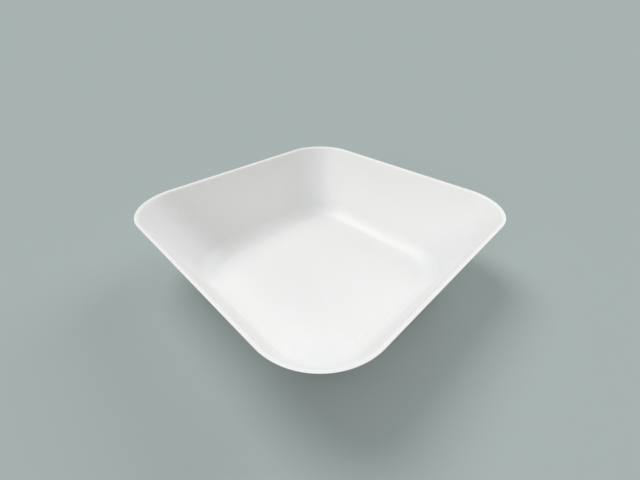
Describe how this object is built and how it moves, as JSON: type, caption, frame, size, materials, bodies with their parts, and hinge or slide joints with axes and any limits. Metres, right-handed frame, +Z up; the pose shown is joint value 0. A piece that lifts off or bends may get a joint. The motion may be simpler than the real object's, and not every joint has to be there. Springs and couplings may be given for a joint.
{
  "type": "weighing boat",
  "caption": "Square thin-walled plastic weighing boat with a flat base, sloping sides, rounded corners and a narrow flat lip, for holding a sample on a balance.",
  "frame": {"origin": "middle of the underside of the base", "axes": "+Z up through the middle of the boat, X and Y square to its straight sides"},
  "size_m": [0.084, 0.084, 0.024],
  "materials": {
    "boat": "smooth white formed plastic with a soft satin sheen"
  },
  "bodies": {
    "root": {"boat": "boat"}
  },
  "joints": []
}
